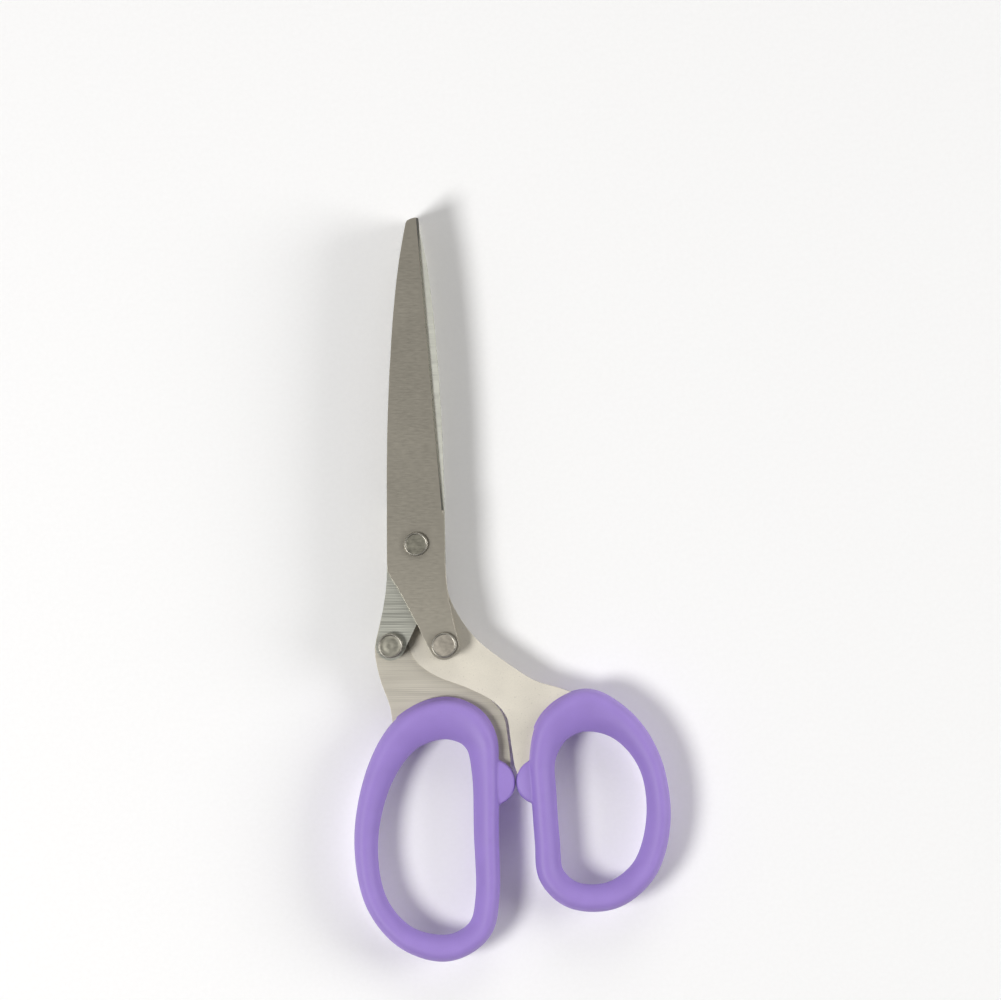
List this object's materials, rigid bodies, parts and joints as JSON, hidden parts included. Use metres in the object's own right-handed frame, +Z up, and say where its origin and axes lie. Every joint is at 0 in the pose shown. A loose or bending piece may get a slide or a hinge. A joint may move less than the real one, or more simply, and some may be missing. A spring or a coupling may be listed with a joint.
{
  "type": "fringing scissors",
  "caption": "Fringing scissors with a stack of parallel straight blades on one pivot rivet and two oval moulded finger loops.",
  "frame": {"origin": "on the pivot axis, on the flat underside of the pivot rivet's lower head, on which the scissors lie", "axes": "+Y from the pivot to the closed blade tips, +X towards the thumb loop, +Z up, along the pivot axis"},
  "size_m": [0.0817, 0.1918, 0.0168],
  "materials": {
    "thumb_blade_steel": "satin",
    "finger_blade_steel": "fine grinding lines across the blade",
    "thumb_tang_steel": "bright satin",
    "finger_tang_steel": "coarse grinding lines",
    "rivet_steel": "satin, with a polished rim",
    "spacer_steel": "turned",
    "purple_plastic": "fine matt moulding"
  },
  "bodies": {
    "finger_half": {"finger_blade_1": "finger_blade_steel", "finger_blade_2": "finger_blade_steel", "finger_blade_4": "finger_blade_steel", "finger_blade_5": "finger_blade_steel", "finger_tang_blade": "finger_tang_steel", "pivot_rivet": "rivet_steel", "finger_arm_rivet": "rivet_steel", "pivot_spacer_1": "spacer_steel", "pivot_spacer_2": "spacer_steel", "pivot_spacer_3": "spacer_steel", "pivot_spacer_4": "spacer_steel", "finger_arm_spacer_1": "spacer_steel", "finger_arm_spacer_2": "spacer_steel", "finger_arm_spacer_3": "spacer_steel", "finger_arm_spacer_4": "spacer_steel", "finger_grip": "purple_plastic"},
    "thumb_half": {"thumb_blade_1": "thumb_blade_steel", "thumb_blade_2": "thumb_blade_steel", "thumb_blade_4": "thumb_blade_steel", "thumb_blade_5": "thumb_blade_steel", "thumb_tang_blade": "thumb_tang_steel", "thumb_arm_rivet": "rivet_steel", "thumb_arm_spacer_1": "spacer_steel", "thumb_arm_spacer_2": "spacer_steel", "thumb_arm_spacer_3": "spacer_steel", "thumb_arm_spacer_4": "spacer_steel", "thumb_grip": "purple_plastic"}
  },
  "joints": [
    {"name": "blade_pivot", "type": "hinge", "parent": "finger_half", "child": "thumb_half", "pos_m": [0, 0, 0.00838], "axis": [0, 0, 1], "range_deg": [0, 50]}
  ]
}
